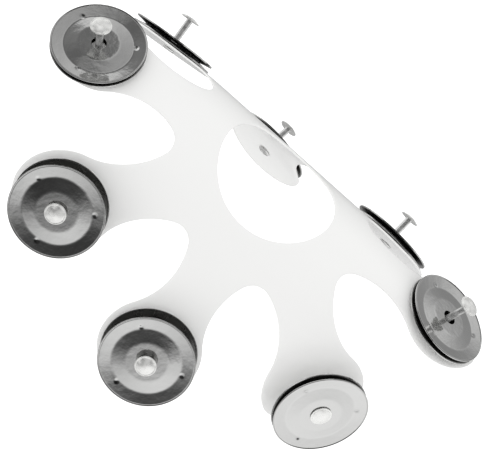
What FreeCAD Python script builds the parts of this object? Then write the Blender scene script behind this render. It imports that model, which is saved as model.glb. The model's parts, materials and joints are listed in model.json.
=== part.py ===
import FreeCAD, Part
import math
import os

from FreeCAD import Matrix, Vector

# Hi-hat tambourine: one thin plastic sheet cut as a star with eight round-ended arms and a wide
# centre hole, folded down on both sides of a ridge. Each arm carries a pair of loose steel jingles
# on a headed pin, on the outer face of the sheet.
# Millimetres and degrees. +Z points up out of the centre hole, and arm 5 points along +X.
# Arms are numbered 1 to 8, anticlockwise seen from above, and arm 1 points along -X.

# Sheet, as it is cut flat
PITCH_R = 122.5
LOBE_R = 28.8
VALLEY_R = 63.5
VALLEY_ARC_R = 10.3
NECK_SIDE_R = 41.8
HOLE_R = 37.6
SHEET_T = 1.0

# Fold of the sheet over its ridge
RIDGE_R = 62.0
RIDGE_TURN = -3.5
FLAP_ANGLE = 43.8

# Bend of each arm. Its neck twists from VALLEY_R on, until the lobe is as wide as the jingles are.
LOBE_STIFF_SHARE = 0.75

# Radius from which an arm curls down. Arms 2, 3 and 6 share one, and the others have their own.
CURL_START_R = 78.5
CURL_START_R_1 = 55.0
CURL_START_R_4 = 90.0
CURL_START_R_5 = 60.5
CURL_START_R_7 = 50.0
CURL_START_R_8 = 68.0

# Curl and twist are the angles that an arm has bent by at its pin. Split is the inner jingle's share
# of the free travel on the pin, and the outer jingle has the rest. Lift and part are how much of its
# own share each of the two has slid outwards as the part lies, and spin is how far the outer jingle's
# dents are turned from the arm's direction.
ARMS = {
    1: dict(start=CURL_START_R_1, curl=19.5, twist=-7, split=0.50, lift=0.00, part=0.00, spin=-34),
    2: dict(start=CURL_START_R, curl=14.0, twist=-17, split=0.40, lift=1.00, part=0.80, spin=-73),
    3: dict(start=CURL_START_R, curl=20.5, twist=-6, split=0.37, lift=0.50, part=0.90, spin=-16),
    4: dict(start=CURL_START_R_4, curl=38.0, twist=-4, split=0.97, lift=1.00, part=1.00, spin=-39),
    5: dict(start=CURL_START_R_5, curl=8.5, twist=0, split=0.50, lift=0.00, part=0.00, spin=19),
    6: dict(start=CURL_START_R, curl=8.0, twist=-2, split=0.50, lift=0.00, part=0.00, spin=50),
    7: dict(start=CURL_START_R_7, curl=15.2, twist=8, split=0.50, lift=0.00, part=0.00, spin=5),
    8: dict(start=CURL_START_R_8, curl=5.0, twist=-2, split=0.50, lift=0.00, part=0.00, spin=85),
}

# Pin
SHANK_R = 2.0
PIN_FREE_LENGTH = 19.3
HEAD_R = 6.0
HEAD_RIM_H = 0.5
HEAD_DOME_H = 1.2
TAIL_R = 4.2
TAIL_H = 1.0
TAIL_SLOT_W = 0.9
TAIL_SLOT_DEPTH = 0.6
PIN_HOLE_GAP = 0.05
TAIL_SEAT_GAP = 0.3

# Jingle
JINGLE_R = 26.6
JINGLE_T = 0.5
JINGLE_HOLE_R = 4.2
PLATEAU_R = 11.6
RING_R = 19.2
PLATEAU_H = 1.6
RIM_H = 1.5
LIP_R = 0.45
STACK_GAP = 0.3
DENT_COUNT = 3
DENT_PITCH_R = 20.5
DENT_BALL_R = 2.4
DENT_DEPTH = 0.3

# Grid of the bent surfaces, and the angle from an arm's middle at which its bend begins to fade
GRID_STEP = 8.0
ARM_FULL_ANGLE = 15.0
FRAME_STEP = 0.5
SEW_TOLERANCE = 0.01

ARM_COUNT = len(ARMS)
ARM_HALF_ANGLE = 180.0 / ARM_COUNT
SHEET_REACH = PITCH_R + LOBE_R
TWIST_END_R = PITCH_R - LOBE_STIFF_SHARE * LOBE_R
PAIR_H = 2 * PLATEAU_H + 2 * JINGLE_T + STACK_GAP
FREE_TRAVEL = PIN_FREE_LENGTH - PAIR_H - 2 * STACK_GAP


def inner_travel(arm):
    return FREE_TRAVEL * ARMS[arm]["split"]


def outer_travel(arm):
    return FREE_TRAVEL - inner_travel(arm)


def arm_angle(arm):
    return math.pi + (arm - 1) * 2 * math.pi / ARM_COUNT


def ease(x):
    x = min(max(x, 0.0), 1.0)
    return x * x * (3 - 2 * x)


def curl_arm(arm, u, v, height):
    """Bend one arm of the flat sheet down and twist it about its own length."""
    angle = arm_angle(arm)
    out_x, out_y = math.cos(angle), math.sin(angle)
    along = u * out_x + v * out_y
    across = v * out_x - u * out_y
    start = ARMS[arm]["start"]
    if along <= min(VALLEY_R, start):
        return u, v, height
    off_axis = math.degrees(abs(math.atan2(across, along)))
    share = 1 - ease((off_axis - ARM_FULL_ANGLE) / (ARM_HALF_ANGLE - ARM_FULL_ANGLE))
    twist = math.radians(ARMS[arm]["twist"]) * ease((along - VALLEY_R) / (TWIST_END_R - VALLEY_R))
    side = across * math.cos(share * twist) - height * math.sin(share * twist)
    lifted = across * math.sin(share * twist) + height * math.cos(share * twist)
    curve = share * math.radians(ARMS[arm]["curl"]) / (PITCH_R - start)
    bend = curve * (along - start)
    if bend > 0:
        along = start + math.sin(bend) / curve + lifted * math.sin(bend)
        lifted = lifted * math.cos(bend) - (1 - math.cos(bend)) / curve
    return along * out_x - side * out_y, along * out_y + side * out_x, lifted


def fold(u, v, height):
    """Roll the sheet over the ridge, then run on straight down each flap."""
    turn = math.radians(RIDGE_TURN)
    flap = math.radians(FLAP_ANGLE)
    ridge = u * math.cos(turn) + v * math.sin(turn)
    across = v * math.cos(turn) - u * math.sin(turn)
    side = math.copysign(1.0, across)
    slope = min(abs(across) / RIDGE_R, flap)
    beyond = max(abs(across) - RIDGE_R * flap, 0.0)
    y = side * ((RIDGE_R + height) * math.sin(slope) + beyond * math.cos(slope))
    z = (RIDGE_R + height) * math.cos(slope) - RIDGE_R - beyond * math.sin(slope)
    return Vector(ridge * math.cos(turn) - y * math.sin(turn), ridge * math.sin(turn) + y * math.cos(turn), z)


def bent(u, v, height=0.0):
    """Where a point of the flat sheet lies once it is curled and folded."""
    arm = round((math.atan2(v, u) - math.pi) * ARM_COUNT / (2 * math.pi)) % ARM_COUNT + 1
    return fold(*curl_arm(arm, u, v, height))


def smooth(before, here, after):
    """Control point of a cubic curve that runs close by the three points."""
    return (here * 8 - before - after) / 6.0


def bent_surface(height):
    """Cubic surface through the bent sheet at one height, with the flat position as its parameters."""
    cells = 2 * math.ceil((SHEET_REACH + GRID_STEP) / GRID_STEP)
    start = -cells * GRID_STEP / 2
    knots = [start + (i - 3) * GRID_STEP for i in range(cells + 7)]
    grid = [[bent(u, v, height) for v in knots[1:-1]] for u in knots[1:-1]]
    lines = [[smooth(*trio) for trio in zip(a, b, c)] for a, b, c in zip(grid, grid[1:], grid[2:])]
    poles = [[smooth(*trio) for trio in zip(line, line[1:], line[2:])] for line in lines]
    ones = [1] * len(knots)
    surface = Part.BSplineSurface()
    surface.buildFromPolesMultsKnots(poles, ones, ones, knots, knots, False, False, 3, 3)
    surface.segment(start, -start, start, -start)
    return surface


def flat_arc(centre, radius, start, end):
    """Arc on the flat sheet, anticlockwise from one point to the other."""
    a0 = math.atan2(start.y - centre.y, start.x - centre.x)
    a1 = math.atan2(end.y - centre.y, end.x - centre.x)
    circle = Part.Geom2d.Circle2d(FreeCAD.Base.Vector2d(centre.x, centre.y), radius)
    return Part.Geom2d.ArcOfCircle2d(circle, a0, a0 + (a1 - a0) % (2 * math.pi))


def flat_circle(radius):
    left, right = Vector(-radius, 0, 0), Vector(radius, 0, 0)
    return [flat_arc(Vector(), radius, right, left), flat_arc(Vector(), radius, left, right)]


def turned(point, angle):
    cosine, sine = math.cos(angle), math.sin(angle)
    return Vector(point.x * cosine - point.y * sine, point.x * sine + point.y * cosine, 0)


def mirrored(point):
    return Vector(point.x, -point.y, 0)


def star_outline():
    """Round lobes and rounded valleys, joined by long hollow arcs at the sides of each neck."""
    half_turn = math.pi / ARM_COUNT
    lobe = Vector(PITCH_R, 0, 0)
    valley = turned(Vector(VALLEY_R + VALLEY_ARC_R, 0, 0), half_turn)
    to_lobe = NECK_SIDE_R + LOBE_R
    to_valley = NECK_SIDE_R - VALLEY_ARC_R
    apart = lobe - valley
    share = (to_valley**2 - to_lobe**2 + apart.Length**2) / (2 * apart.Length)
    unit = apart / apart.Length
    side = valley + unit * share + Vector(-unit.y, unit.x, 0) * math.sqrt(to_valley**2 - share**2)
    lobe_end = lobe + (side - lobe) * (LOBE_R / to_lobe)
    valley_end = side + (valley - side) * (NECK_SIDE_R / to_valley)
    arcs = []
    for arm in ARMS:
        here = arm_angle(arm)
        there = here + 2 * half_turn
        near = [turned(point, here) for point in (side, lobe_end, valley_end)]
        far = [turned(mirrored(point), there) for point in (side, lobe_end, valley_end)]
        arcs.append(flat_arc(turned(lobe, here), LOBE_R, turned(mirrored(lobe_end), here), near[1]))
        arcs.append(flat_arc(near[0], NECK_SIDE_R, near[2], near[1]))
        arcs.append(flat_arc(turned(valley, here), VALLEY_ARC_R, far[2], near[2]))
        arcs.append(flat_arc(far[0], NECK_SIDE_R, far[1], far[2]))
    return arcs


def bent_slab(outline, top, bottom):
    """Solid between two heights of the bent sheet, inside an outline drawn on the flat sheet."""
    faces = []
    rims = []
    for height in (top, bottom):
        surface = bent_surface(height)
        rim = [arc.toShape(surface) for arc in outline]
        faces.append(Part.Face(surface, Part.Wire(rim)))
        rims.append(rim)
    faces += [Part.makeRuledSurface(upper, lower) for upper, lower in zip(*rims)]
    shell = Part.makeShell(faces)
    shell.sewShape(SEW_TOLERANCE)
    slab = Part.Solid(shell)
    if slab.Volume < 0:
        slab.reverse()
    return slab


def pin_frame(arm):
    """Placement at the pin of an arm: origin on the outer face, X out along the arm, Z square to it."""
    angle = arm_angle(arm)
    u, v = PITCH_R * math.cos(angle), PITCH_R * math.sin(angle)
    step_u, step_v = FRAME_STEP * math.cos(angle), FRAME_STEP * math.sin(angle)
    origin = bent(u, v)
    up = (bent(u, v, FRAME_STEP) - origin).normalize()
    out = bent(u + step_u, v + step_v) - bent(u - step_u, v - step_v)
    side = up.cross(out).normalize()
    out = side.cross(up)
    matrix = Matrix(out.x, side.x, up.x, origin.x, out.y, side.y, up.y, origin.y, out.z, side.z, up.z, origin.z)
    return FreeCAD.Placement(matrix)


def placed(shape, arm, height=0.0):
    copy = shape.copy()
    copy.translate(Vector(0, 0, height))
    copy.Placement = pin_frame(arm).multiply(copy.Placement)
    return copy


def spun(points):
    """Solid of revolution about Z from a closed outline in the XZ plane."""
    wire = Part.makePolygon([Vector(r, 0, z) for r, z in points + points[:1]])
    return Part.Face(wire).revolve(Vector(), Vector(0, 0, 1), 360)


def make_sheet():
    sheet = bent_slab(star_outline(), 0.0, -SHEET_T)
    margin = 3 * SHEET_T
    sheet = sheet.cut(bent_slab(flat_circle(HOLE_R), margin, -SHEET_T - margin))
    drill = Part.makeCylinder(SHANK_R + PIN_HOLE_GAP, SHEET_T + 2 * margin, Vector(0, 0, -SHEET_T - margin))
    for arm in ARMS:
        sheet = sheet.cut(placed(drill, arm))
    return sheet.Solids[0]


def make_pin():
    """Domed head, plain shank and a flared tail with a crosswise split."""
    foot = -SHEET_T - TAIL_SEAT_GAP - TAIL_H
    rim_top = PIN_FREE_LENGTH + HEAD_RIM_H
    shank = Part.makeCylinder(SHANK_R, rim_top - foot, Vector(0, 0, foot))
    rim = Part.makeCylinder(HEAD_R, HEAD_RIM_H, Vector(0, 0, PIN_FREE_LENGTH))
    ball_r = (HEAD_R**2 + HEAD_DOME_H**2) / (2 * HEAD_DOME_H)
    dome = Part.makeSphere(ball_r, Vector(0, 0, rim_top + HEAD_DOME_H - ball_r))
    dome = dome.common(Part.makeCylinder(HEAD_R, 2 * HEAD_DOME_H, Vector(0, 0, rim_top)))
    tail = Part.makeCone(TAIL_R - TAIL_H / 2, TAIL_R, TAIL_H, Vector(0, 0, foot))
    pin = shank.fuse([rim, dome, tail])
    for length, width in ((2 * TAIL_R, TAIL_SLOT_W), (TAIL_SLOT_W, 2 * TAIL_R)):
        corner = Vector(-length / 2, -width / 2, foot)
        pin = pin.cut(Part.makeBox(length, width, TAIL_SLOT_DEPTH, corner))
    return pin.removeSplitter().Solids[0]


def make_jingle():
    """Thin dished disc with its flat plateau on top and its lowest ring on the plane z = 0."""
    plateau_z = JINGLE_T + PLATEAU_H
    rim_z = JINGLE_T + RIM_H
    lip_start = JINGLE_R - LIP_R
    top = [
        (JINGLE_HOLE_R, plateau_z),
        (PLATEAU_R, plateau_z),
        (RING_R, JINGLE_T),
        (lip_start, rim_z),
        (JINGLE_R, rim_z),
    ]
    disc = spun(top + [(r, z - JINGLE_T) for r, z in reversed(top)])
    deep = spun(top + [(r, z - JINGLE_T - DENT_BALL_R) for r, z in reversed(top)])
    dent_z = JINGLE_T + RIM_H * (DENT_PITCH_R - RING_R) / (lip_start - RING_R)
    for number in range(DENT_COUNT):
        around = turned(Vector(DENT_PITCH_R, 0, 0), 2 * math.pi * number / DENT_COUNT)
        centre = around + Vector(0, 0, dent_z + DENT_BALL_R - DENT_DEPTH)
        disc = disc.fuse(Part.makeSphere(DENT_BALL_R + JINGLE_T, centre).common(deep))
        disc = disc.cut(Part.makeSphere(DENT_BALL_R, centre))
    return disc.Solids[0]


def make_parts():
    shapes = {"star_sheet": make_sheet()}
    pin = make_pin()
    outer_jingle = make_jingle()
    inner_jingle = outer_jingle.copy()
    inner_jingle.rotate(Vector(), Vector(1, 0, 0), 180)
    for arm, state in ARMS.items():
        meeting = STACK_GAP + PLATEAU_H + JINGLE_T + state["lift"] * inner_travel(arm)
        parting = STACK_GAP + state["part"] * outer_travel(arm)
        shapes[f"pin_{arm}"] = placed(pin, arm)
        shapes[f"jingle_inner_{arm}"] = placed(inner_jingle, arm, meeting)
        spun_jingle = outer_jingle.copy()
        spun_jingle.rotate(Vector(), Vector(0, 0, 1), state["spin"])
        shapes[f"jingle_outer_{arm}"] = placed(spun_jingle, arm, meeting + parting)
    return shapes


SHAPES = make_parts()
os.makedirs("parts", exist_ok=True)
for name, shape in SHAPES.items():
    shape.exportStep(f"parts/{name}.step")
print("free travel of a pair on its pin", round(FREE_TRAVEL, 2))
print("volumes", {name: round(shape.Volume, 1) for name, shape in SHAPES.items() if name.endswith(("t", "1"))})
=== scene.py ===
# %% [markdown]
# # A hi-hat tambourine in white plastic and nickel
# The real thing is one sheet of white plastic, cut as a star with eight round arms and bent over a
# ridge. Every arm carries two pressed steel jingles on a headed pin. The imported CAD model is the
# frame: each piece below takes its place from it, and this lesson gives the pieces their finish.

# %% Load the frame
import json
import math

import bmesh
import bpy
import numpy as np
from mathutils import Matrix, Vector, geometry


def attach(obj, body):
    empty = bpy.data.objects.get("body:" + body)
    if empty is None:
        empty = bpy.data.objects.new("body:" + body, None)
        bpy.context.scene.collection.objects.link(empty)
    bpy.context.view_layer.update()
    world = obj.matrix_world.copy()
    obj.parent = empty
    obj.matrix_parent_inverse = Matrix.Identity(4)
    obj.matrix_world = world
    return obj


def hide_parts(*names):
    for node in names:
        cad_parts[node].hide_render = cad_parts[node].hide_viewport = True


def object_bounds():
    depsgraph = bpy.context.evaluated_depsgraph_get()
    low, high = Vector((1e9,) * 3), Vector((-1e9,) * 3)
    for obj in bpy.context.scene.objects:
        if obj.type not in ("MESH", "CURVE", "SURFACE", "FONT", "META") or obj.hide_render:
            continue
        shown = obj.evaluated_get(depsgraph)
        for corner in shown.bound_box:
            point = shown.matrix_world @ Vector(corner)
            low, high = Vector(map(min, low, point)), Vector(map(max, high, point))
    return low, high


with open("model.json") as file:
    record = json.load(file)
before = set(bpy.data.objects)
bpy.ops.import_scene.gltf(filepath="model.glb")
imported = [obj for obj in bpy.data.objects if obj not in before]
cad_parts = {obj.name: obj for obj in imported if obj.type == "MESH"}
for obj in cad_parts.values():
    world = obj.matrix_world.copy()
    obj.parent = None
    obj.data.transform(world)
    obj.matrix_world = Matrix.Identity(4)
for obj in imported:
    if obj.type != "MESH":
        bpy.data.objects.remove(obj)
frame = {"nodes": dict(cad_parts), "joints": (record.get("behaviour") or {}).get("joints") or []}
nodes = frame["nodes"]
cad_box = [list(corner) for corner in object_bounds()]
MM = 0.001
ARMS = range(1, 9)
print("nodes", len(nodes), "CAD box", cad_box)

# %% [markdown]
# ## How the sheet is bent
# Thin plastic sheet bends, but it doesn't stretch, so the honest way to model it is to draw the star
# flat, as it was cut, and then to move every point by the bend. First comes the bend of one arm: it
# curls down past a given radius and twists at its neck, fully up to 15 degrees to either side of its
# middle line and fading out over the next 7.5. Then the whole sheet rolls over its ridge and runs on
# straight down both flaps.

# %% Bend of the sheet
PITCH_R, LOBE_R, VALLEY_R, VALLEY_ARC_R = 122.5, 28.8, 63.5, 10.3
NECK_SIDE_R, HOLE_R, PIN_HOLE_R, SHEET_T = 41.8, 37.6, 2.05, 1.0
RIDGE_R, RIDGE_TURN, FLAP = 62.0, math.radians(-3.5), math.radians(43.8)
TWIST_END_R = 100.9
STEADY_DEG, FADE_DEG = 15.0, 7.5
CURL_START_R = {1: 55, 2: 78.5, 3: 78.5, 4: 90, 5: 60.5, 6: 78.5, 7: 50, 8: 68}
CURL = {1: 19.5, 2: 14, 3: 20.5, 4: 38, 5: 8.5, 6: 8, 7: 15.2, 8: 5}
TWIST = {1: -7, 2: -17, 3: -6, 4: -4, 5: 0, 6: -2, 7: 8, 8: -2}


def arm_angle(arm):
    return math.pi + (arm - 1) * math.pi / 4


def ease(x):
    x = min(max(x, 0.0), 1.0)
    return x * x * (3 - 2 * x)


def curl_arm(arm, u, v, height):
    """Where the curl and twist of one arm take a point of the flat sheet, in millimetres."""
    angle = arm_angle(arm)
    out_x, out_y = math.cos(angle), math.sin(angle)
    along, across = u * out_x + v * out_y, v * out_x - u * out_y
    start = CURL_START_R[arm]
    if along <= min(VALLEY_R, start):
        return u, v, height
    share = 1 - ease((math.degrees(abs(math.atan2(across, along))) - STEADY_DEG) / FADE_DEG)
    twist = share * math.radians(TWIST[arm]) * ease((along - VALLEY_R) / (TWIST_END_R - VALLEY_R))
    side = across * math.cos(twist) - height * math.sin(twist)
    lifted = across * math.sin(twist) + height * math.cos(twist)
    curve = share * math.radians(CURL[arm]) / (PITCH_R - start)
    bend = curve * (along - start)
    if bend > 0:
        along = start + math.sin(bend) / curve + lifted * math.sin(bend)
        lifted = lifted * math.cos(bend) - (1 - math.cos(bend)) / curve
    return along * out_x - side * out_y, along * out_y + side * out_x, lifted


def fold(u, v, height):
    """Roll a point over the ridge of the sheet; the result is in metres."""
    cosine, sine = math.cos(RIDGE_TURN), math.sin(RIDGE_TURN)
    ridge, across = u * cosine + v * sine, v * cosine - u * sine
    slope = min(abs(across) / RIDGE_R, FLAP)
    beyond = max(abs(across) - RIDGE_R * FLAP, 0.0)
    y = math.copysign((RIDGE_R + height) * math.sin(slope) + beyond * math.cos(slope), across)
    z = (RIDGE_R + height) * math.cos(slope) - RIDGE_R - beyond * math.sin(slope)
    return Vector((ridge * cosine - y * sine, ridge * sine + y * cosine, z)) * MM


def bent(u, v, height=0.0):
    arm = round((math.atan2(v, u) - math.pi) * 4 / math.pi) % 8 + 1
    return fold(*curl_arm(arm, u, v, height))


print("pin of arm 3 at", tuple(round(c, 4) for c in bent(0.0, -PITCH_R)))

# %% [markdown]
# ## The star, cut flat
# The outline is arcs only: a round lobe on each arm, a small round valley between two arms, and a long
# hollow arc down each side of the neck. Where two arcs meet they share a tangent, so the cut edge reads
# as one smooth line.

# %% Outline of the star
def arc(centre, radius, start, end, step=1.0):
    """Points along an arc from start to end by its shorter way, about a step apart, without the last."""
    a0 = math.atan2(start.y - centre.y, start.x - centre.x)
    turn = math.remainder(math.atan2(end.y - centre.y, end.x - centre.x) - a0, 2 * math.pi)
    count = max(int(abs(turn) * radius / step), 2)
    angles = [a0 + turn * i / count for i in range(count)]
    return [centre + Vector((math.cos(a), math.sin(a))) * radius for a in angles]


def turned(points, angle):
    cosine, sine = math.cos(angle), math.sin(angle)
    return [Vector((p.x * cosine - p.y * sine, p.x * sine + p.y * cosine)) for p in points]


def star_outline():
    lobe = Vector((PITCH_R, 0))
    tip = Vector((PITCH_R + LOBE_R, 0))
    valley = turned([Vector((VALLEY_R + VALLEY_ARC_R, 0))], math.pi / 8)[0]
    valley_low = turned([Vector((VALLEY_R, 0))], math.pi / 8)[0]
    to_lobe, to_valley = NECK_SIDE_R + LOBE_R, NECK_SIDE_R - VALLEY_ARC_R
    apart = lobe - valley
    share = (to_valley**2 - to_lobe**2 + apart.length**2) / (2 * apart.length)
    unit = apart.normalized()
    side = valley + unit * share + Vector((-unit.y, unit.x)) * math.sqrt(to_valley**2 - share**2)
    lobe_end = lobe + (side - lobe) * (LOBE_R / to_lobe)
    valley_end = side + (valley - side) * (NECK_SIDE_R / to_valley)
    widest = Vector((PITCH_R, LOBE_R))
    half = arc(lobe, LOBE_R, tip, widest) + arc(lobe, LOBE_R, widest, lobe_end)
    half += arc(side, NECK_SIDE_R, lobe_end, valley_end)
    half += arc(valley, VALLEY_ARC_R, valley_end, valley_low)
    other = [Vector((p.x, -p.y)) for p in half[1:]]
    back = turned(other[::-1], math.pi / 4)
    one_arm = half + [valley_low] + back
    return [p for k in range(8) for p in turned(one_arm, k * math.pi / 4)]


outline = star_outline()
print("outline points", len(outline), "reach mm", round(max(p.length for p in outline), 2))

# %% [markdown]
# ## Filling the star
# A bend needs points inside the outline too, or the flat triangles show as facets in the gloss. An even
# field of points goes in, kept clear of the edges, and Blender's constrained triangulation joins them
# with the outline, the wide hole and the eight pin holes. Then the mesh gets its lower face and wall.

# %% Triangulate and bend the sheet
FIELD_STEP, ROW_STEP, EDGE_CLEARANCE = 2.6, 2.6 * math.sqrt(3) / 2, 0.6
FIELD_COUNT = 70


def ring(centre, radius, count):
    angles = [2 * math.pi * i / count for i in range(count)]
    return [centre + Vector((math.cos(a), math.sin(a))) * radius for a in angles]


def inside(points, loop):
    xs, ys = np.array([p.x for p in points]), np.array([p.y for p in points])
    found = np.zeros(len(points), bool)
    for a, b in zip(loop, loop[1:] + loop[:1]):
        crosses = (a.y > ys) != (b.y > ys)
        with np.errstate(divide="ignore", invalid="ignore"):
            found ^= crosses & (xs < (b.x - a.x) * (ys - a.y) / (b.y - a.y) + a.x)
    return found


pins = [turned([Vector((PITCH_R, 0))], k * math.pi / 4)[0] for k in range(8)]
loops = [outline, ring(Vector((0, 0)), HOLE_R, 180)] + [ring(p, PIN_HOLE_R, 32) for p in pins]
rim = np.array([p for loop in loops for p in loop])
field = []
for row in range(-FIELD_COUNT, FIELD_COUNT + 1):
    for column in range(-FIELD_COUNT, FIELD_COUNT + 1):
        field.append(Vector(((column + 0.5 * (row % 2)) * FIELD_STEP, row * ROW_STEP)))
keep = inside(field, outline)
field = [p for p, k in zip(field, keep) if k and p.length > HOLE_R]
field = [p for p in field if np.min(np.hypot(*(rim - np.array(p)).T)) > EDGE_CLEARANCE * FIELD_STEP]
points, edges = [], []
for loop in loops:
    start = len(points)
    points += loop
    edges += [(start + i, start + (i + 1) % len(loop)) for i in range(len(loop))]
points += field
flat_points, _, triangles, *_ = geometry.delaunay_2d_cdt(points, edges, [], 0, 1e-5)
middles = [(flat_points[a] + flat_points[b] + flat_points[c]) / 3 for a, b, c in triangles]
solid = inside(middles, outline)
for loop in loops[1:]:
    solid &= ~inside(middles, loop)
triangles = [t for t, k in zip(triangles, solid) if k]
print("flat sheet", len(flat_points), "points", len(triangles), "triangles")


def mesh_object(name, bm):
    mesh = bpy.data.meshes.new(name)
    bm.to_mesh(mesh)
    bm.free()
    piece = bpy.data.objects.new(name, mesh)
    bpy.context.scene.collection.objects.link(piece)
    return piece


def sheet_mesh():
    bm = bmesh.new()
    used = sorted({i for t in triangles for i in t})
    top = {i: bm.verts.new(bent(*flat_points[i], 0.0)) for i in used}
    low = {i: bm.verts.new(bent(*flat_points[i], -SHEET_T)) for i in used}
    count = {}
    for t in triangles:
        bm.faces.new([top[i] for i in t])
        bm.faces.new([low[i] for i in reversed(t)])
        for a, b in zip(t, t[1:] + t[:1]):
            count[(a, b)] = count.get((a, b), 0) + 1
    for a, b in count:
        if (b, a) not in count:
            bm.faces.new([top[b], top[a], low[a], low[b]])
    bmesh.ops.recalc_face_normals(bm, faces=bm.faces)
    return bm


def apply_modifiers(piece):
    graph = bpy.context.evaluated_depsgraph_get()
    mesh = bpy.data.meshes.new_from_object(piece.evaluated_get(graph))
    piece.modifiers.clear()
    piece.data = mesh


sheet = mesh_object("star_sheet_bent", sheet_mesh())
bevel = sheet.modifiers.new("soft cut edge", "BEVEL")
bevel.width, bevel.segments, bevel.angle_limit = 0.22 * MM, 2, math.radians(50)
apply_modifiers(sheet)
sheet.data.shade_smooth()
sheet.data.set_sharp_from_angle(angle=math.radians(50))
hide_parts("star_sheet")
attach(sheet, "sheet")
print("sheet triangles", sum(len(p.vertices) - 2 for p in sheet.data.polygons))

# %% [markdown]
# ## A pressed jingle
# A jingle is a disc of thin steel, pressed between two dies: a flat plateau with a loose hole, a cone
# down to the ring where it meets its mate, a flange that rises again, and a turned lip. It is round, so
# a profile is turned about its axis. The dies leave every corner rounded, and this profile rounds them
# with short curves of points. Three small dents are pushed into the flange with a soft-edged push, so
# only the ring that they lie on needs closely set points.

# %% Jingle profile and mesh
JINGLE_R, JINGLE_T, JINGLE_HOLE_R = 26.6, 0.5, 4.2
PLATEAU_R, RING_R, PLATEAU_H, RIM_H, LIP_R = 11.6, 19.2, 1.6, 1.5, 0.45
DENT_PITCH_R, DENT_R, DENT_DEPTH = 20.5, 1.5, 0.45
TURN_STEPS = 240


def rounded(corners, radii, pieces=4):
    """Polyline through the corners, each inner one replaced by a short curve of points."""
    path = [Vector(corners[0])]
    for before, here, after, radius in zip(corners, corners[1:], corners[2:], radii):
        a, b, c = Vector(before), Vector(here), Vector(after)
        start = b + (a - b).normalized() * min(radius, (a - b).length * 0.45)
        end = b + (c - b).normalized() * min(radius, (c - b).length * 0.45)
        for i in range(pieces + 1):
            t = i / pieces
            path.append(start * (1 - t) ** 2 + b * 2 * t * (1 - t) + end * t * t)
    return path + [Vector(corners[-1])]


def divided(path, step, low, high):
    """Path with points a step apart wherever it crosses the ring from radius low to radius high."""
    out = []
    for a, b in zip(path, path[1:]):
        crosses = a.x < high and b.x > low
        count = max(math.ceil((b - a).length / step), 1) if crosses else 1
        out += [a + (b - a) * i / count for i in range(count)]
    return out + [path[-1]]


def turned_mesh(profile, steps, push=None):
    """Turn (r, z) points in millimetres about the Z axis. A profile that starts on the axis isn't closed."""
    bm = bmesh.new()
    rows = []
    for i in range(steps):
        angle = 2 * math.pi * i / steps
        row = []
        for r, z in profile:
            x, y = r * math.cos(angle), r * math.sin(angle)
            if push:
                z -= push(x, y)
            row.append(bm.verts.new(Vector((x, y, z)) * MM))
        rows.append(row)
    spans = len(profile) if profile[0][0] > 0 else len(profile) - 1
    for a, b in zip(rows, rows[1:] + rows[:1]):
        for i in range(spans):
            j = (i + 1) % len(profile)
            bm.faces.new([a[i], b[i], b[j], a[j]])
    bmesh.ops.recalc_face_normals(bm, faces=bm.faces)
    return bm


def dent_push(x, y):
    """How deep the flange is pushed in at a point, in millimetres."""
    deep = 0.0
    for k in range(3):
        angle = 2 * math.pi * k / 3
        away = math.hypot(x - DENT_PITCH_R * math.cos(angle), y - DENT_PITCH_R * math.sin(angle))
        if away < DENT_R:
            deep = DENT_DEPTH * (1 - (away / DENT_R) ** 2) ** 1.3
    return deep


def jingle_profile():
    lip_start, rim = JINGLE_R - LIP_R, JINGLE_T + RIM_H
    top = [(JINGLE_HOLE_R, JINGLE_T + PLATEAU_H), (PLATEAU_R, JINGLE_T + PLATEAU_H), (RING_R, JINGLE_T),
           (lip_start - 0.6, rim - 0.3), (lip_start - 0.3, rim - 0.38), (lip_start, rim),
           (JINGLE_R - 0.15, rim), (JINGLE_R, rim - 0.25)]
    top = rounded(top, (1.0, 0.8, 0.12, 0.12, 0.2, 0.12))
    upper = divided(top, 0.5, DENT_PITCH_R - DENT_R, DENT_PITCH_R + DENT_R)
    lower = [Vector((p.x, p.y - JINGLE_T)) for p in reversed(upper)]
    lower[0] = lower[0] + Vector((-0.1, 0))
    return upper + lower


profile = jingle_profile()
jingle_mesh = bpy.data.meshes.new("jingle")
pressed = turned_mesh(profile, TURN_STEPS, dent_push)
pressed.to_mesh(jingle_mesh)
pressed.free()
jingle_mesh.shade_smooth()
jingle_mesh.set_sharp_from_angle(angle=math.radians(40))
# the undersides inside the lip face the gap of a pair and take the second material, whose darker grey is painted
# shade
for face in jingle_mesh.polygons:
    inside_lip = face.center.xy.length < (JINGLE_R - LIP_R) * MM
    face.material_index = int(face.normal.z < -0.3 and inside_lip)
print("profile points", len(profile), "jingle faces", len(jingle_mesh.polygons))

# %% [markdown]
# ## Hanging the jingles
# Each jingle goes where its CAD node is. The direction of its slide is the axis of its pin, and the
# node's own points, seen along that axis, give the middle of the disc and the plane that it lies on.
# The dents are turned as they are in the node, so that the two models agree at every angle.

# %% Place the jingles
AXES = {j["child"]: Vector(j["axis"]).normalized() for j in frame["joints"]}


def axes_of(arm):
    """Outwards along the arm, sideways, and along the pin, as a rotation."""
    up = AXES[f"inner_{arm}"]
    angle = arm_angle(arm)
    ahead = bent((PITCH_R + 0.5) * math.cos(angle), (PITCH_R + 0.5) * math.sin(angle))
    back = bent((PITCH_R - 0.5) * math.cos(angle), (PITCH_R - 0.5) * math.sin(angle))
    side = up.cross(ahead - back).normalized()
    return Matrix((side.cross(up), side, up)).transposed()


def seat(node, turn):
    """Lowest and highest point of a node along its pin, and its middle, all in metres."""
    local = np.array([v.co for v in nodes[node].data.vertices]) @ np.array(turn)
    low, high = local.min(0), local.max(0)
    middle = turn @ Vector(((low[0] + high[0]) / 2, (low[1] + high[1]) / 2, 0))
    return middle, low[2], high[2]


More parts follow.
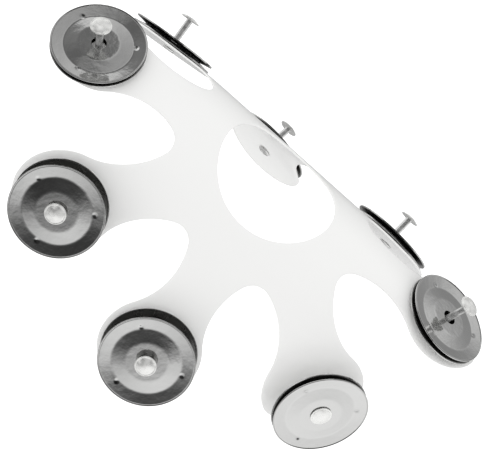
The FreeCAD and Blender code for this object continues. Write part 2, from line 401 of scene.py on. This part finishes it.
SPIN = {1: -34, 2: -73, 3: -16, 4: -39, 5: 19, 6: 50, 7: 5, 8: 85}
jingles = []
for arm in ARMS:
    turn = axes_of(arm)
    for side in ("inner", "outer"):
        node = f"jingle_{side}_{arm}"
        middle, low, high = seat(node, turn)
        piece = bpy.data.objects.new(f"{node}_pressed", jingle_mesh)
        bpy.context.scene.collection.objects.link(piece)
        face_height = low if side == "outer" else high
        place = Matrix.Translation(middle + turn @ Vector((0, 0, face_height))) @ turn.to_4x4()
        if side == "inner":
            place = place @ Matrix.Rotation(math.pi, 4, "X")
        else:
            place = place @ Matrix.Rotation(math.radians(SPIN[arm]), 4, "Z")
        piece.matrix_world = place
        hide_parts(node)
        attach(piece, f"{side}_{arm}")
        jingles.append(piece)
print("jingles", len(jingles))

# %% [markdown]
# ## The pins
# A pin starts as wire: a low domed head is struck on one end, and after it has gone through the jingles
# and the sheet its other end is split crosswise and flared, so it can't come out. It is round but for
# the split, so it is turned from a profile like the jingles, and a cross of two blades cuts the split.
# The struck head has a fine groove inside its rim, and the flared tail is a little hollow.

# %% Pin mesh
HEAD_R, HEAD_RIM_H, HEAD_DOME_H, SHANK_R, FREE_LENGTH = 6.0, 0.5, 1.2, 2.0, 19.3
TAIL_R, TAIL_H, TAIL_TOP, SLOT_W, SLOT_DEPTH = 4.2, 1.0, -1.3, 0.9, 0.6
GROOVE_IN, DOME_POINTS, PIN_STEPS = 0.9, 14, 64


def pin_profile():
    ball = (HEAD_R**2 + HEAD_DOME_H**2) / (2 * HEAD_DOME_H)
    rim_top = FREE_LENGTH + HEAD_RIM_H
    foot = TAIL_TOP - TAIL_H
    groove = HEAD_R - GROOVE_IN
    tail = [(0, foot + 0.45), (0.9, foot + 0.4), (1.7, foot), (TAIL_R - 0.7, foot + 0.15),
            (TAIL_R, TAIL_TOP - 0.2), (TAIL_R - 0.2, TAIL_TOP), (SHANK_R, TAIL_TOP)]
    head = [(SHANK_R, FREE_LENGTH), (HEAD_R, FREE_LENGTH), (HEAD_R, rim_top + 0.1),
            (groove + 0.4, rim_top + 0.18), (groove, rim_top + 0.12)]
    path = rounded(tail + head, (0.3, 0.3, 0.4, 0.3, 0.1, 0.15, 0.4, 0.2, 0.25, 0.1))
    for i in range(DOME_POINTS):
        r = (groove - 0.1) * (1 - i / (DOME_POINTS - 1))
        path.append(Vector((r, rim_top + HEAD_DOME_H - ball + math.sqrt(ball**2 - r**2))))
    return path


def split_tail(bm):
    """Cut the crosswise split into the tail with a cross of two thin blades."""
    half, far, foot = SLOT_W / 2, 1.5 * TAIL_R, TAIL_TOP - TAIL_H
    quarter = [Vector((far, -half)), Vector((far, half)), Vector((half, half))]
    cross = [p for k in range(4) for p in turned(quarter, k * math.pi / 2)]
    tool = bmesh.new()
    low = [tool.verts.new(Vector((*p, foot - 1)) * MM) for p in cross]
    top = [tool.verts.new(Vector((*p, foot + SLOT_DEPTH)) * MM) for p in cross]
    tool.faces.new(low[::-1])
    tool.faces.new(top)
    for i in range(len(cross)):
        tool.faces.new([low[i - 1], low[i], top[i], top[i - 1]])
    pin, blades = mesh_object("pin_blank", bm), mesh_object("blades", tool)
    cut = pin.modifiers.new("split", "BOOLEAN")
    cut.operation, cut.object, cut.solver = "DIFFERENCE", blades, "EXACT"
    apply_modifiers(pin)
    bpy.data.objects.remove(blades)
    return pin


blank = turned_mesh(pin_profile(), PIN_STEPS)
bmesh.ops.remove_doubles(blank, verts=blank.verts, dist=1e-6)
pin_blank = split_tail(blank)
pin_mesh = pin_blank.data
bpy.data.objects.remove(pin_blank)
pin_mesh.shade_smooth()
pin_mesh.set_sharp_from_angle(angle=math.radians(40))
for arm in ARMS:
    turn = axes_of(arm)
    middle, low, high = seat(f"pin_{arm}", turn)
    piece = bpy.data.objects.new(f"pin_{arm}_struck", pin_mesh)
    bpy.context.scene.collection.objects.link(piece)
    top = (FREE_LENGTH + HEAD_RIM_H + HEAD_DOME_H) * MM
    piece.matrix_world = Matrix.Translation(middle + turn @ Vector((0, 0, high - top))) @ turn.to_4x4()
    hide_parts(f"pin_{arm}")
    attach(piece, "sheet")
print("pin faces", len(pin_mesh.polygons))

# %% [markdown]
# ## One way to make materials
# Colours are written as sRGB hex, as a paint chart gives them, and turned to linear light by one
# function. A second function adds a node, its settings and its links. Every pattern starts from the
# object's own coordinates in metres, so a scale of 1000 is one cell a millimetre.

# %% Colour and node helpers
def linear(hex_code):
    values = [int(hex_code[i:i + 2], 16) / 255 for i in (1, 3, 5)]
    return tuple(v / 12.92 if v <= 0.04045 else ((v + 0.055) / 1.055) ** 2.4 for v in values) + (1.0,)


def add_node(owner, kind, settings=None, links=None):
    node = owner.node_tree.nodes.new(kind)
    for key, value in (settings or {}).items():
        if isinstance(key, int) or key in node.inputs:
            node.inputs[key].default_value = value
        else:
            setattr(node, key, value)
    for socket, source in (links or {}).items():
        owner.node_tree.links.new(source, node.inputs[socket])
    return node


def new_material(name, **settings):
    material = bpy.data.materials.new(name)
    material.use_nodes = True
    shader = material.node_tree.nodes["Principled BSDF"]
    for key, value in settings.items():
        shader.inputs[key.replace("_", " ")].default_value = value
    return material, shader


# %% [markdown]
# ## White rigid PVC sheet
# The sheet is white PVC, rolled smooth between polished steel cylinders. That gives a hard gloss with
# a very slight waviness, a few centimetres long, and fine handling marks that only show in the gloss.

# %% PVC sheet material
WAVE_MM, SCUFF_MM = 28, 1.6
pvc, pvc_shader = new_material("white rigid PVC sheet", Base_Color=linear("#EDEDEC"), IOR=1.53, Roughness=0.2)
on_sheet = add_node(pvc, "ShaderNodeTexCoord").outputs["Object"]
wave = add_node(pvc, "ShaderNodeTexNoise", {"Scale": 1000 / WAVE_MM, "Detail": 2.0}, {"Vector": on_sheet})
scuff = add_node(pvc, "ShaderNodeTexNoise", {"Scale": 1000 / SCUFF_MM, "Detail": 4.0}, {"Vector": on_sheet})
gloss = add_node(pvc, "ShaderNodeMapRange",
                 {"From Min": 0.3, "From Max": 0.7, "To Min": 0.14, "To Max": 0.24},
                 {"Value": scuff.outputs["Fac"]})
pvc.node_tree.links.new(gloss.outputs["Result"], pvc_shader.inputs["Roughness"])
ripple = add_node(pvc, "ShaderNodeBump", {"Strength": 0.25, "Distance": 0.6 * MM},
                  {"Height": wave.outputs["Fac"]})
pvc.node_tree.links.new(ripple.outputs["Normal"], pvc_shader.inputs["Normal"])
sheet.data.materials.clear()
sheet.data.materials.append(pvc)
print("waves mm", WAVE_MM, "scuffs mm", SCUFF_MM)

# %% [markdown]
# ## Nickel-plated steel
# The jingles are steel, pressed, barrel polished and nickel plated, so they mirror their surroundings
# with a slightly warm grey. One function makes every nickel finish, because they differ by degree only:
# how hazy the plating is, in clouds about 9 mm wide, how uneven the press has left it, in lumps about
# 5 mm wide, and how much of it has gone dull. The backs of the jingles face into the gap of a pair, and
# they get a darker grey there as painted shade, and a rougher finish. The wire of the pins, and more so the
# struck heads, have lost their mirror in patches 4 mm wide, where a film on the plating scatters the light as
# paint does.

# %% Nickel materials
CLOUD_MM, LUMP_MM, PATCH_MM = 9, 5, 4


def nickel(name, hex_code, low, high, lump, dull=0.0):
    """Nickel with a roughness from low to high, lumps of so many mm, and a share that has gone dull."""
    metal, shader = new_material(name, Base_Color=linear(hex_code), Metallic=1.0, Roughness=low)
    here = add_node(metal, "ShaderNodeTexCoord").outputs["Object"]
    cloud = add_node(metal, "ShaderNodeTexNoise", {"Scale": 1000 / CLOUD_MM, "Detail": 5.0}, {"Vector": here})
    haze = add_node(metal, "ShaderNodeMapRange",
                    {"From Min": 0.3, "From Max": 0.7, "To Min": low, "To Max": high},
                    {"Value": cloud.outputs["Fac"]})
    metal.node_tree.links.new(haze.outputs["Result"], shader.inputs["Roughness"])
    if dull:
        patch = add_node(metal, "ShaderNodeTexNoise", {"Scale": 1000 / PATCH_MM, "Detail": 2.0}, {"Vector": here})
        bare = add_node(metal, "ShaderNodeMapRange",
                        {"From Min": 0.3, "From Max": 0.7, "To Min": 1 - dull, "To Max": 1 - dull / 3},
                        {"Value": patch.outputs["Fac"]})
        metal.node_tree.links.new(bare.outputs["Result"], shader.inputs["Metallic"])
    uneven = add_node(metal, "ShaderNodeTexNoise", {"Scale": 1000 / LUMP_MM, "Detail": 3.0}, {"Vector": here})
    press = add_node(metal, "ShaderNodeBump", {"Strength": 1.0, "Distance": lump * MM},
                     {"Height": uneven.outputs["Fac"]})
    metal.node_tree.links.new(press.outputs["Normal"], shader.inputs["Normal"])
    return metal


# polished after pressing: a clear mirror that the press has left a little wavy
jingle_nickel = nickel("nickel-plated pressed steel", "#D4D4D3", 0.05, 0.13, 0.16)
# rougher, with no clear reflection, and a darker grey that is painted shade for the undersides in the gap of a
# pair
shaded_back_nickel = nickel("nickel-plated steel, back in painted shade", "#7E7E7C", 0.2, 0.35, 0.16)
# drawn smooth before plating: an even, light satin
wire_nickel = nickel("nickel-plated steel wire", "#E8E8E7", 0.1, 0.2, 0.03, 0.45)
# struck, then worn by hands and jingles: pale and mottled
head_nickel = nickel("nickel plating, dulled in patches", "#F2F2F0", 0.2, 0.32, 0.03, 0.7)
for metal in (jingle_nickel, shaded_back_nickel):
    jingle_mesh.materials.append(metal)
pin_mesh.materials.clear()
for metal in (wire_nickel, head_nickel):
    pin_mesh.materials.append(metal)
for face in pin_mesh.polygons:
    face.material_index = int(face.center.z > (FREE_LENGTH + 0.1) * MM)
print("materials", [m.name for m in bpy.data.materials])

# %% [markdown]
# ## A white table
# The part is fixed by its hole, so it touches nothing, and the floor lies a little below its lowest
# arm. Catalogue pictures of white things are taken on a table that is lit through from below, which
# leaves no grey shadow round a white edge. So the paper glows as well as taking light from above. It is
# hidden from bounced rays: the sheet and the metal take their light from the room alone.

# %% Floor
FLOOR_DROP = 0.06
floor_bm = bmesh.new()
bmesh.ops.create_grid(floor_bm, x_segments=1, y_segments=1, size=6.0)
floor = mesh_object("floor", floor_bm)
floor.location = (0, 0, cad_box[0][2] - FLOOR_DROP)
floor.visible_glossy, floor.visible_diffuse = False, False
paper, _ = new_material("matt white paper, lit through", Base_Color=linear("#E6E6E6"), Roughness=0.9,
                        Emission_Color=(1, 1, 1, 1), Emission_Strength=0.5)
floor.data.materials.append(paper)
print("floor at", round(floor.location.z, 4))

# %% [markdown]
# ## What the metal sees
# Polished metal has no look of its own: it shows the room. This room is dim. Each light in it is a soft
# round spot in a fixed direction of the part's own frame, so a reflection stays put whatever side it is
# seen from: a wide one low on the right, one on the left, and two small ones at the back and in front.
# Three dark places with firmer edges stand in front, on the left and overhead. The white sheet doesn't
# mirror the room, and takes its light from a pale dome instead, which is brighter from below, as over
# a lit table. Light that the sheet gets by way of the metal comes from the dome too.

# %% Room
ROOM_DIM = 0.05
PANELS = (((0.77, -0.48, -0.43), 1.02, 1.39), ((-0.91, 0.33, 0.26), 0.92, 2.64),
          ((0.36, 0.70, 0.62), 0.45, 30.0), ((-0.02, -0.98, 0.22), 0.56, 31.0))
DARK_PLACES = (((-0.42, -0.74, 0.53), 0.94, 2.6), ((-0.69, 0.30, 0.66), 0.75, 21.0),
               ((0.50, -0.46, 0.73), 0.94, 6.1))
SOFT, FIRM = 1.0, 4.0
DOME, DOME_FROM_BELOW = 1.0, 0.7
world = bpy.data.worlds.new("studio")
bpy.context.scene.world = world
world.use_nodes = True
ray = add_node(world, "ShaderNodeTexCoord").outputs["Generated"]


def spot(direction, tightness, edge):
    """One at the middle of a spot in the room, and less the further a ray points away from it."""
    near = add_node(world, "ShaderNodeVectorMath",
                    {"operation": "DOT_PRODUCT", 1: Vector(direction).normalized()}, {0: ray})
    away = add_node(world, "ShaderNodeMath", {"operation": "MULTIPLY_ADD", 1: -tightness, 2: tightness},
                    {0: near.outputs["Value"]})
    steep = add_node(world, "ShaderNodeMath", {"operation": "POWER", 1: edge}, {0: away.outputs[0]})
    minus = add_node(world, "ShaderNodeMath", {"operation": "MULTIPLY", 1: -1.0}, {0: steep.outputs[0]})
    return add_node(world, "ShaderNodeMath", {"operation": "EXPONENT"}, {0: minus.outputs[0]}).outputs[0]


room = add_node(world, "ShaderNodeValue").outputs[0]
room.default_value = ROOM_DIM
for direction, brightness, tightness in PANELS:
    panel = spot(direction, tightness, SOFT)
    lit = add_node(world, "ShaderNodeMath", {"operation": "MULTIPLY_ADD", 1: brightness}, {0: panel, 2: room})
    room = lit.outputs[0]
for direction, depth, tightness in DARK_PLACES:
    shade = spot(direction, tightness, FIRM)
    left = add_node(world, "ShaderNodeMath", {"operation": "MULTIPLY_ADD", 1: -depth, 2: 1.0}, {0: shade})
    shaded = add_node(world, "ShaderNodeMath", {"operation": "MULTIPLY"}, {0: left.outputs[0], 1: room})
    room = shaded.outputs[0]
path = add_node(world, "ShaderNodeLightPath")
direct = add_node(world, "ShaderNodeMath", {"operation": "LESS_THAN", 1: 0.5},
                  {0: path.outputs["Diffuse Depth"]})
mirror = add_node(world, "ShaderNodeMath", {"operation": "MULTIPLY"},
                  {0: path.outputs["Is Glossy Ray"], 1: direct.outputs[0]})
rise = add_node(world, "ShaderNodeSeparateXYZ", None, {0: ray}).outputs["Z"]
below = add_node(world, "ShaderNodeMath", {"operation": "MINIMUM", 1: 0.0}, {0: rise}).outputs[0]
dome = add_node(world, "ShaderNodeMath", {"operation": "MULTIPLY_ADD", 1: -DOME_FROM_BELOW, 2: DOME},
                {0: below})
seen = add_node(world, "ShaderNodeMix", {"data_type": "FLOAT"},
                {"Factor": mirror.outputs[0], "A": dome.outputs[0], "B": room})
backdrop = world.node_tree.nodes["Background"]
backdrop.inputs["Color"].default_value = (1, 1, 1, 1)
world.node_tree.links.new(seen.outputs["Result"], backdrop.inputs["Strength"])
print("panels", len(PANELS), "dark places", len(DARK_PLACES))

# %% [markdown]
# ## A lamp for the bend
# The even dome alone would flatten the sheet. One wide lamp from high on the left gives each flap and
# each arm its own tone. It is hidden from mirror rays, or it would show as a disc in every jingle.

# %% Lamp
lamp_light = bpy.data.lights.new("wide lamp", "SUN")
lamp_light.energy, lamp_light.angle = 0.35, math.radians(60)
lamp = bpy.data.objects.new("wide lamp", lamp_light)
lamp.rotation_euler = Vector((-0.4, -0.35, 0.85)).to_track_quat("Z", "Y").to_euler()
lamp.visible_glossy = False
bpy.context.scene.collection.objects.link(lamp)

# %% [markdown]
# ## The camera
# The camera stands well back with a long lens, in front and a little to the left, and is rolled so that
# arm 5 points down to the right. Its place was fitted to the outline of the star and to the pins.

# %% Camera
camera_data = bpy.data.cameras.new("camera")
camera_data.lens, camera_data.sensor_width = 144.70, 36.0
camera_data.clip_start, camera_data.clip_end = 0.05, 50.0
camera = bpy.data.objects.new("camera", camera_data)
camera.location = (-0.14588, -0.76222, 0.73525)
camera.rotation_euler = [math.radians(a) for a in (34.069, -31.018, 26.044)]
bpy.context.scene.collection.objects.link(camera)
bpy.context.scene.camera = camera
bpy.context.scene.view_settings.view_transform = "Standard"

# %% [markdown]
# ## Finish
# The view layer is updated once more.

# %% Finish
bpy.context.view_layer.update()
